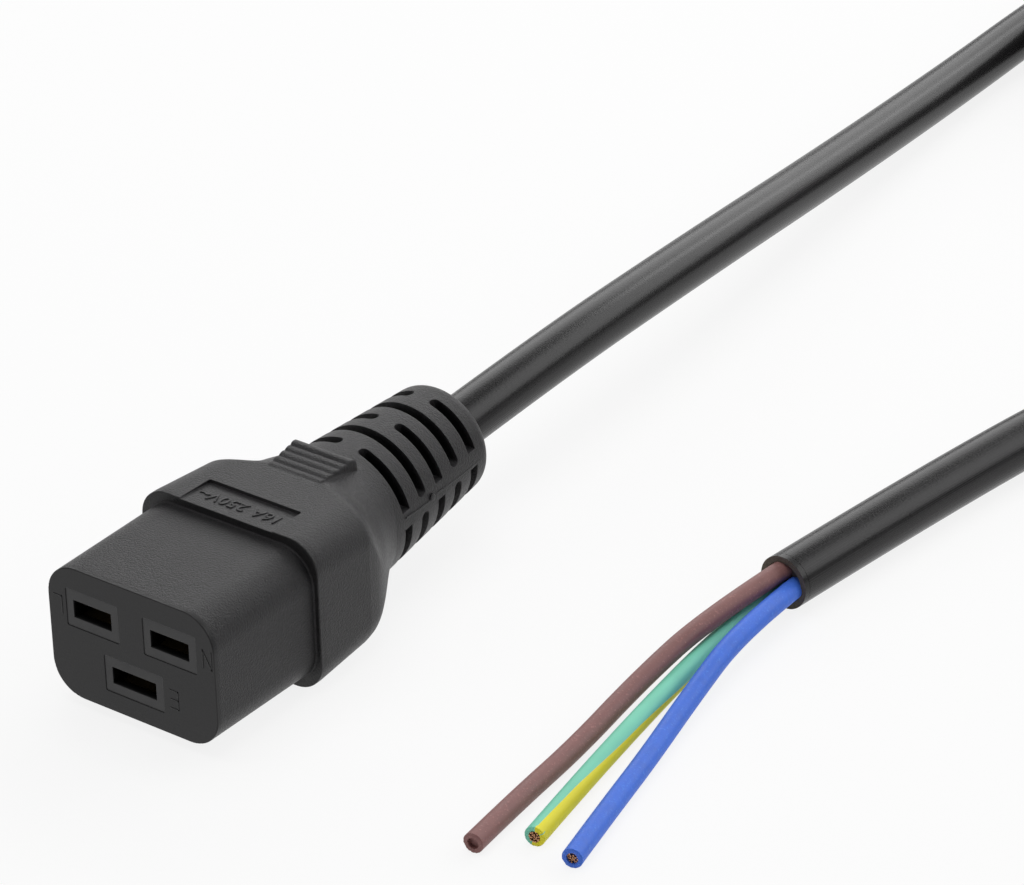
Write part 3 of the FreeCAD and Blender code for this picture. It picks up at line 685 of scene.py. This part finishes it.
def spline_piece(name, points, radius, around=10, caps=False):
    """A round cord on a smooth NURBS line whose control points are the route's."""
    curve = bpy.data.curves.new(name, "CURVE")
    curve.dimensions = "3D"
    curve.bevel_depth = radius
    curve.bevel_resolution = around
    curve.resolution_u = 12
    curve.use_fill_caps = caps
    spline = curve.splines.new("NURBS")
    spline.points.add(len(points) - 1)
    for target, point in zip(spline.points, points):
        target.co = (*(value * MM for value in point), 1.0)
    spline.order_u = 3
    spline.use_endpoint_u = True
    return add_object(name, curve)


def line_length(piece):
    """Length of a curve's own line."""
    plain = piece.data.copy()
    plain.bevel_depth = 0.0
    holder = bpy.data.objects.new("measure", plain)
    mesh = bpy.data.meshes.new_from_object(holder)
    places = [vertex.co for vertex in mesh.vertices]
    total = sum((places[edge.vertices[0]] - places[edge.vertices[1]]).length for edge in mesh.edges)
    bpy.data.objects.remove(holder)
    bpy.data.curves.remove(plain)
    bpy.data.meshes.remove(mesh)
    return total


def end_place(points):
    """The matrix that takes +Z to the way out of a route's last point."""
    tip = metres(points[-1])
    out = (tip - metres(points[-2])).normalized()
    return Matrix.Translation(tip) @ out.to_track_quat("Z", "Y").to_matrix().to_4x4()


# ---- cord ----------------------------------------------------------------------------

def coil_points():
    """The turns: three on the floor from the outside in, then one and a half nested above."""
    across = sizes().cord_diameter / MM
    rise = across * math.sqrt(3) / 2
    outward = 1 / math.cos(math.pi / POINTS_PER_TURN)
    points = []
    for step in range(1, int(COIL_TURNS * POINTS_PER_TURN)):
        turn = step / POINTS_PER_TURN
        lap = int(turn)
        late = max(0.0, (turn - lap - STEP_OVER_FROM) / (1 - STEP_OVER_FROM))
        shift = late * late * (3 - 2 * late)
        if lap < 2:
            # the outer two turns step inwards by one diameter each
            radius = COIL_MIDDLE_RADIUS + across * (1 - lap - shift)
            height = 0.0
        elif lap == 2:
            # the inner turn rolls up over its neighbour into the valley above
            climb = math.radians(180 - 120 * shift)
            radius = COIL_MIDDLE_RADIUS - across * shift + across * math.cos(climb)
            height = across * math.sin(climb)
        else:
            # the upper turns lie in the valleys, and pass over one turn between them
            radius = COIL_MIDDLE_RADIUS - across / 2 + across * (shift if lap == 3 else 1.0)
            over = (across * 2 * shift) % across - across / 2
            height = math.sqrt(across ** 2 - over ** 2) if 0 < shift < 1 else rise
        angle = math.pi - 2 * math.pi * turn
        spoke = Vector((math.cos(angle), math.sin(angle), 0.0)) * radius * outward
        points.append(tuple(COIL_CENTRE + spoke + UP * (COIL_Z + height)))
    return points


def cord_points():
    """The whole route, from the cut inside the connector to the cut at the bare end."""
    start = [on_relief((0.0, y, 0.0)) for y in (SHEATH_CUT_Y, STRAIGHT_TO_Y)]
    return start + CORD_OUT + coil_points() + CORD_BACK


def build_cord(materials):
    """The sheath as one smooth line from the connector to the cut end."""
    piece = spline_piece("cord", cord_points(), sizes().cord_diameter / 2, around=12, caps=True)
    finish_piece(piece, materials["sheath_pvc"])
    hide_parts("cord_from_connector", "cord_coil", "cord_to_bare_end")
    return piece


def build_sheath_end(materials):
    """A short cut collar at the sheath's end, hollow round the three cores."""
    radius = sizes().cord_diameter / 2
    wall = sizes().sheath_wall
    length = SHEATH_END_LENGTH * MM
    deselect_all()
    bpy.ops.mesh.primitive_cylinder_add(vertices=64, radius=radius, depth=length, location=(0, 0, length / 2))
    piece = bpy.context.object
    edit_top(piece)
    bpy.ops.mesh.inset(thickness=wall * 0.25)
    bpy.ops.mesh.inset(thickness=wall * 0.75)
    bpy.ops.mesh.extrude_region_move(TRANSFORM_OT_translate={"value": (0, 0, -SHEATH_END_DEPTH * MM)})
    bpy.ops.mesh.inset(thickness=radius * 0.3)
    leave_edit(piece)
    chance = random.Random(11)
    for vertex in piece.data.vertices:
        if vertex.co.z > length * 2 / 3:
            vertex.co.z += chance.uniform(-0.1, 0.06) * MM
            vertex.co.xy *= 1 + chance.uniform(-0.012, 0.0)
    place = end_place(CORD_BACK)
    settle(piece, "sheath_cut_end", place)
    bpy.ops.object.shade_smooth_by_angle(angle=SMOOTH_BELOW)
    finish_piece(piece, materials["sheath_cut"])
    piece.data.materials.append(materials["sheath_pvc"])
    out = place.to_3x3() @ UP
    for face in piece.data.polygons:
        away = face.center - place.translation
        side = away - out * away.dot(out)
        if side.length > radius * 0.93 and abs(face.normal.dot(out)) < 0.5:
            face.material_index = 1
    return piece


# ---- stripped cores ------------------------------------------------------------------

def core_points(name):
    """A core's route from its place in the sheath's cut to its tip."""
    end = Vector(CORD_BACK[-1])
    along = (end - Vector(CORD_BACK[-2])).normalized()
    side = UP.cross(along).normalized()
    angle = math.radians(CORE_ANGLES[name])
    start = end + (side * math.cos(angle) + UP * math.sin(angle)) * CORE_RING_RADIUS
    return [tuple(start)] + CORE_ROUTES[name]


def build_core(name, materials):
    """A core's insulation with its cut tip and its copper."""
    material = materials["core_" + name]
    points = core_points(name)
    diameter = sizes().core_diameter
    piece = spline_piece(name + "_core_cover", points, diameter / 2, around=8)
    finish_piece(piece, material)
    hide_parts(name + "_core")
    tip = build_core_tip(name, points, material, piece)
    copper = build_copper(name, points, materials["copper"])
    line_length(piece)


def build_core_tip(name, points, material, cover):
    """The hollow end of the insulation, a little dragged by the cutter."""
    radius = sizes().core_diameter / 2
    wall = radius - sizes().bundle_diameter / 2
    deselect_all()
    bpy.ops.mesh.primitive_cylinder_add(vertices=40, radius=radius, depth=CORE_END_LENGTH * MM)
    piece = bpy.context.object
    edit_top(piece)
    bpy.ops.mesh.inset(thickness=wall * 0.22)
    bpy.ops.transform.translate(value=(0, 0, CORE_END_LIP * MM))
    bpy.ops.mesh.inset(thickness=wall * 0.78)
    bpy.ops.mesh.extrude_region_move(TRANSFORM_OT_translate={"value": (0, 0, -CORE_END_DEPTH * MM)})
    leave_edit(piece)
    chance = random.Random(len(name))
    for vertex in piece.data.vertices:
        if vertex.co.z > 0.2 * MM:
            vertex.co.z += chance.uniform(-0.05, 0.07) * MM
    settle(piece, name + "_core_tip", end_place(points))
    bpy.ops.object.shade_smooth_by_angle(angle=SMOOTH_BELOW)
    carry_pattern(cover, piece, metres(points[-1]))
    return finish_piece(piece, material)


def carry_pattern(cover, tip, end):
    """Gives the tip the pattern coordinates of the cover's last ring, so that stripes run on."""
    mesh = bpy.data.meshes.new_from_object(cover)
    ring = []
    for loop in mesh.loops:
        away = mesh.vertices[loop.vertex_index].co - end
        if away.length < 1.05 * cover.data.bevel_depth:
            ring.append((away.normalized(), mesh.uv_layers[0].data[loop.index].uv.copy()))
    for loop in tip.data.loops:
        away = (tip.data.vertices[loop.vertex_index].co - end).normalized()
        nearest = max(ring, key=lambda place: place[0].dot(away))
        tip.data.uv_layers[0].data[loop.index].uv = nearest[1]
    bpy.data.meshes.remove(mesh)


def build_copper(name, points, material):
    """A bundle of fine wires, packed in rings inside the insulation."""
    chance = random.Random(31 + len(name))
    wire = sizes().wire_diameter / 2
    reach = sizes().bundle_diameter / 2 - wire
    places = [(0.0, 0.0)]
    for ring, count in ((1, 6), (2, 12)):
        for number in range(count):
            angle = 2 * math.pi * (number + 0.3 * ring) / count
            places.append((reach * ring / 2 * math.cos(angle), reach * ring / 2 * math.sin(angle)))
    deselect_all()
    wires = []
    for x, y in places:
        uneven = chance.uniform(-WIRE_UNEVENNESS, WIRE_UNEVENNESS)
        middle = (WIRE_REACH - STRAND_RECESS[name] + uneven - WIRE_LENGTH / 2) * MM
        bpy.ops.mesh.primitive_cylinder_add(
            vertices=10, radius=wire, depth=WIRE_LENGTH * MM, location=(x, y, middle),
            rotation=(chance.uniform(-WIRE_LEAN, WIRE_LEAN), chance.uniform(-WIRE_LEAN, WIRE_LEAN), 0),
        )
        wires.append(bpy.context.object)
    piece = settle(join(wires), name + "_core_copper", end_place(points))
    bpy.ops.object.shade_smooth_by_angle(angle=SMOOTH_BELOW)
    finish_piece(piece, material)
    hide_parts(name + "_core_strands")
    return piece


# ---- coil tie ------------------------------------------------------------------------

def tie_outline():
    """The strap's inner line round the turns, as (radius, height), its corners in small steps."""
    half = sizes().cord_diameter / MM / 2
    low = COIL_Z - half
    high = COIL_Z + half + half * math.sqrt(3)
    step = COIL_Z + half * 0.4
    corners = [
        Vector((COIL_MIDDLE_RADIUS + 3 * half, step)),
        Vector((COIL_MIDDLE_RADIUS + 2 * half, high)),
        Vector((COIL_MIDDLE_RADIUS - 2 * half, high)),
        Vector((COIL_MIDDLE_RADIUS - 3 * half, step)),
        Vector((COIL_MIDDLE_RADIUS - 3 * half, low)),
        Vector((COIL_MIDDLE_RADIUS + 3 * half, low)),
    ]
    line = []
    for number, corner in enumerate(corners):
        back = (corners[number - 1] - corner).normalized()
        ahead = (corners[(number + 1) % len(corners)] - corner).normalized()
        half_angle = back.angle(ahead) / 2
        centre = corner + (back + ahead).normalized() * TIE_CORNER / math.sin(half_angle)
        reach = math.pi / 2 - half_angle
        middle = math.atan2(*(corner - centre).yx)
        for part in range(-4, 5):
            angle = middle + reach * part / 4
            line.append(centre + Vector((math.cos(angle), math.sin(angle))) * TIE_CORNER)
    return line


def walk(line, extra):
    """Even steps along a closed line and on past its start by extra, and the line's length.

    Each step is its point, the way outwards there and its distance from the start.
    """
    spans = [b - a for a, b in zip(line, line[1:] + line[:1])]
    total = sum(span.length for span in spans)
    count = int((total + extra) / TIE_STEP)
    steps = []
    for number in range(count + 1):
        distance = number * (total + extra) / count
        left = distance % total
        for start, span in zip(line, spans):
            if left <= span.length and span.length > 0:
                way = span.normalized()
                steps.append((start + way * left, Vector((way.y, -way.x)), distance))
                break
            left -= span.length
    return steps, total


def tie_section(point, out, distance, total):
    """The strap's middle line across one step, as pairs of a place and its pattern coordinates."""
    thick = sizes().tie_thickness / MM
    half_width = sizes().tie_width / MM / 2
    to_end = total + sizes().tie_overlap / MM - distance
    over_start = min(1.0, max(0.0, (distance - total + TIE_CLIMB) / TIE_CLIMB))
    narrow = 1.0 - TIE_END_NARROWING * max(0.0, 1.0 - to_end / TIE_END_TAPER) ** 3
    curl = TIE_CURL * max(0.0, 1.0 - to_end / TIE_CURL_LENGTH) ** 2
    lift = thick * TIE_PRESSED_HEIGHT * over_start + thick / 2 + curl
    radius, height = point + out * lift
    turn = Matrix.Rotation(TIE_ANGLE, 3, "Z")
    section = []
    for part in TIE_ACROSS:
        side = part * half_width * narrow
        spoke = turn @ Vector((math.sqrt(radius ** 2 - side ** 2), side, 0.0))
        section.append((metres(COIL_CENTRE + spoke + UP * height), (distance, part * half_width)))
    return section


def ribbon_mesh(name, sections):
    """A band of quads through rows of places, each with its pattern coordinates."""
    bm = bmesh.new()
    uv = bm.loops.layers.uv.new("UVMap")
    rows = [[(bm.verts.new(place), pattern) for place, pattern in section] for section in sections]
    for first, second in zip(rows, rows[1:]):
        for number in range(len(first) - 1):
            corners = [first[number], first[number + 1], second[number + 1], second[number]]
            face = bm.faces.new([vertex for vertex, _ in corners])
            face.smooth = True
            for loop, (_, pattern) in zip(face.loops, corners):
                loop[uv].uv = pattern
    bmesh.ops.recalc_face_normals(bm, faces=bm.faces)
    mesh = bpy.data.meshes.new(name)
    bm.to_mesh(mesh)
    bm.free()
    return mesh


def build_tie(materials):
    """A woven hook-and-loop strap round the turns, its tail pressed over its own start."""
    steps, total = walk(tie_outline(), sizes().tie_overlap / MM)
    sections = [tie_section(*step, total) for step in steps]
    piece = add_object("coil_strap", ribbon_mesh("coil_strap", sections))
    select_only([piece])
    solid = piece.modifiers.new("thickness", "SOLIDIFY")
    solid.thickness = sizes().tie_thickness
    solid.offset = 0.0
    edge = piece.modifiers.new("edges", "BEVEL")
    edge.width = TIE_EDGE_ROUND * MM
    edge.segments = 2
    edge.limit_method = "ANGLE"
    edge.angle_limit = math.radians(50)
    for modifier in ("thickness", "edges"):
        bpy.ops.object.modifier_apply(modifier=modifier)
    finish_piece(piece, materials["tie_plastic"])
    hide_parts("coil_tie")
    return piece


# ---- marks, flash and gate -----------------------------------------------------------

def stroke(start, end):
    """One straight bar of a letter, from one (x, z) to another on the mating face."""
    run = Vector((end[0] - start[0], 0, end[1] - start[1]))
    middle = Vector((start[0] + end[0], 0, start[1] + end[1])) / 2
    bpy.ops.mesh.primitive_cube_add(size=1, location=middle * MM)
    bar = bpy.context.object
    bar.dimensions = ((run.length + STROKE_WIDTH) * MM, STROKE_DEPTH * MM, STROKE_WIDTH * MM)
    bar.rotation_euler = (0, -math.atan2(run.z, run.x), 0)
    return bar


def build_marks(materials):
    """L, N and E beside the slots, upright when the earth slot is on top, and the rating."""
    for name, strokes in LETTERS.items():
        deselect_all()
        letter = join([stroke(start, end) for start, end in strokes])
        finish_piece(settle(letter, name), materials["housing_pvc"])
    deselect_all()
    bpy.ops.object.text_add()
    words = bpy.context.object.data
    words.body = RATING
    words.size = sizes().rating_height / CAPITAL_SHARE
    words.align_x = "CENTER"
    words.align_y = "CENTER"
    words.extrude = RATING_DEPTH * MM / 2
    words.resolution_u = 6
    bpy.ops.object.convert(target="MESH")
    turn = Matrix.Rotation(-PANEL_LEAN, 4, "X") @ Matrix.Rotation(math.radians(180), 4, "Z")
    rating = settle(bpy.context.object, "rating", Matrix.Translation(metres(PANEL_MIDDLE)) @ turn)
    finish_piece(rating, materials["housing_pvc"])


def build_flash(materials):
    """The mould's flash along both sides of the strain relief, with the gate's stub on one."""
    for name, side in (("flash_right", 1), ("flash_left", -1)):
        points = [on_relief((side * x, y, z)) for x, y, z in FLASH_LINE]
        ridge = spline_piece(name, points, FLASH_RADIUS * MM, around=3, caps=True)
        finish_piece(ridge, materials["housing_pvc"])
    deselect_all()
    bpy.ops.mesh.primitive_cylinder_add(vertices=24, radius=GATE_RADIUS * MM, depth=GATE_LENGTH * MM)
    stub = bpy.context.object
    bpy.ops.object.mode_set(mode="EDIT")
    bpy.ops.mesh.bevel(offset=GATE_ROUND * MM, segments=2, affect="EDGES")
    bpy.ops.object.mode_set(mode="OBJECT")
    middle = metres(on_relief(GATE_PLACE))
    settle(stub, "gate_stub", Matrix.Translation(middle) @ Matrix.Rotation(math.radians(90), 4, "Y"))
    bpy.ops.object.shade_smooth_by_angle(angle=SMOOTH_BELOW)
    finish_piece(stub, materials["housing_pvc"])


# ---- stage ---------------------------------------------------------------------------

def pale_floor():
    """A matt pale floor: nearly white where it is looked at, and a little darker where it is mirrored."""
    s = Shader("floor", tuple(colours().floor), 0.9)
    path = s.node("ShaderNodeLightPath").outputs
    seen = s.times(s.math("MAXIMUM", path["Is Camera Ray"], path["Is Transmission Ray"]), FLOOR_LIFT)
    mirrored = path["Is Glossy Ray"]
    white = s.node("ShaderNodeEmission")
    white.inputs["Color"].default_value = (1.0, 1.0, 1.0, 1.0)
    s.link(s.remap(mirrored, 0.0, 1.0, 1.0, FLOOR_MIRRORED), white.inputs["Strength"])
    mixed = s.node("ShaderNodeMixShader")
    s.link(s.math("MAXIMUM", seen, mirrored), mixed.inputs["Fac"])
    s.link(s.surface.outputs["BSDF"], mixed.inputs[1])
    s.link(white.outputs["Emission"], mixed.inputs[2])
    s.link(mixed.outputs["Shader"], s.tree.nodes["Material Output"].inputs["Surface"])
    return s.material


def build_floor():
    deselect_all()
    bpy.ops.mesh.primitive_plane_add(size=FLOOR_SIZE, location=(0, 0, FLOOR_Z * MM))
    floor = bpy.context.object
    floor.name = "floor"
    floor.data.materials.append(pale_floor())


def build_lights():
    """A dim white room, and the softboxes."""
    world = bpy.context.scene.world or bpy.data.worlds.new("studio")
    bpy.context.scene.world = world
    world.use_nodes = True
    room = world.node_tree.nodes["Background"]
    room.inputs["Color"].default_value = (1.0, 1.0, 1.0, 1.0)
    room.inputs["Strength"].default_value = ROOM_LIGHT
    for name, place, target, size, power in LAMPS:
        light = bpy.data.lights.new(name, "AREA")
        light.energy = power
        light.shape = "RECTANGLE"
        light.size, light.size_y = size
        lamp = add_object(name, light)
        lamp.location = place
        towards = Vector(target) - Vector(place)
        lamp.rotation_euler = towards.to_track_quat("-Z", "Y").to_euler()


def build_camera():
    """A long lens that looks down at the mating face from the front right, rolled a little."""
    back = Vector((
        math.sin(CAMERA_AZIMUTH) * math.cos(CAMERA_ELEVATION),
        -math.cos(CAMERA_AZIMUTH) * math.cos(CAMERA_ELEVATION),
        math.sin(CAMERA_ELEVATION),
    ))
    level = Vector((math.cos(CAMERA_AZIMUTH), math.sin(CAMERA_AZIMUTH), 0.0))
    upright = back.cross(level)
    right = level * math.cos(CAMERA_ROLL) + upright * math.sin(CAMERA_ROLL)
    up = upright * math.cos(CAMERA_ROLL) - level * math.sin(CAMERA_ROLL)
    data = bpy.data.cameras.new("camera")
    data.lens = CAMERA_LENS
    data.sensor_width = CAMERA_SENSOR
    data.sensor_fit = "HORIZONTAL"
    data.clip_start = 0.01
    data.clip_end = 20.0
    camera = add_object("camera", data)
    turn = Matrix((right, up, back)).transposed().to_4x4()
    camera.matrix_world = Matrix.Translation(CAMERA_TARGET + back * CAMERA_DISTANCE) @ turn
    bpy.context.scene.camera = camera


# ---- operators -----------------------------------------------------------------------

# the finishes by name: the stage's step makes them, and the other steps share them
FINISHES = {}


def dress(node, material):
    """Gives a solid its finish."""
    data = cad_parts[node].data
    data.materials.clear()
    data.materials.append(FINISHES[material])


class CONNECTOR_OT_stage(bpy.types.Operator):
    """Add the floor, the lights and the camera, and make the finishes"""

    bl_idname = "connector.stage"
    bl_label = "Stage"

    def execute(self, context):
        context.scene.view_settings.view_transform = "Standard"
        build_floor()
        build_lights()
        build_camera()
        FINISHES.update(make_materials())
        return {"FINISHED"}


class CONNECTOR_OT_cord(bpy.types.Operator):
    bl_idname = "connector.cord"
    bl_label = "Cord"

    def execute(self, context):
        cord = build_cord(FINISHES)
        end = build_sheath_end(FINISHES)
        tie = build_tie(FINISHES)
        line_length(cord)
        return {"FINISHED"}


class CONNECTOR_OT_cores(bpy.types.Operator):
    """Lay the three stripped cores with their copper"""

    bl_idname = "connector.cores"
    bl_label = "Stripped cores"

    def execute(self, context):
        for name in CORE_ROUTES:
            build_core(name, FINISHES)
        return {"FINISHED"}


class CONNECTOR_OT_housing(bpy.types.Operator):
    """Dress the moulded housing and add the marks on it"""

    bl_idname = "connector.housing"
    bl_label = "Housing and marks"

    def execute(self, context):
        dress("outer_mould", "housing_pvc")
        build_marks(FINISHES)
        build_flash(FINISHES)
        return {"FINISHED"}


class CONNECTOR_OT_inside(bpy.types.Operator):
    """Dress the contact carrier, the contacts and what is sealed inside"""

    bl_idname = "connector.inside"
    bl_label = "Carrier and contacts"

    def execute(self, context):
        dress("contact_carrier", "carrier_plastic")
        dress("inner_mould", "inner_plastic")
        for pole, core in (("line", "brown"), ("neutral", "blue"), ("earth", "green_yellow")):
            dress(pole + "_contact", "contact_brass")
            dress(pole + "_lead", "core_" + core)
            dress(pole + "_lead_strands", "copper")
        return {"FINISHED"}


class CONNECTOR_PT_panel(bpy.types.Panel):
    """Sidebar panel with the connector's sizes, colours and building steps"""

    bl_idname = "CONNECTOR_PT_panel"
    bl_label = "C19 Power Connector"
    bl_space_type = "VIEW_3D"
    bl_region_type = "UI"
    bl_category = "Connector"

    def draw(self, context):
        layout = self.layout
        for operator in OPERATORS:
            layout.operator(operator.bl_idname)
        for group in (context.scene.connector_sizes, context.scene.connector_colours):
            box = layout.box()
            for key in group.bl_rna.properties.keys():
                if key not in ("rna_type", "name"):
                    box.prop(group, key)


OPERATORS = (
    CONNECTOR_OT_stage,
    CONNECTOR_OT_cord,
    CONNECTOR_OT_cores,
    CONNECTOR_OT_inside,
    CONNECTOR_OT_housing,
)
CLASSES = (ConnectorSizes, ConnectorColours, *OPERATORS, CONNECTOR_PT_panel)


def register():
    for made in CLASSES:
        bpy.utils.register_class(made)
    bpy.types.Scene.connector_sizes = bpy.props.PointerProperty(type=ConnectorSizes)
    bpy.types.Scene.connector_colours = bpy.props.PointerProperty(type=ConnectorColours)


def unregister():
    del bpy.types.Scene.connector_colours
    del bpy.types.Scene.connector_sizes
    for made in reversed(CLASSES):
        bpy.utils.unregister_class(made)


def main():
    register()
    bpy.ops.connector.stage()
    bpy.ops.connector.cord()
    bpy.ops.connector.cores()
    bpy.ops.connector.inside()
    bpy.ops.connector.housing()


if __name__ == "__main__":
    main()
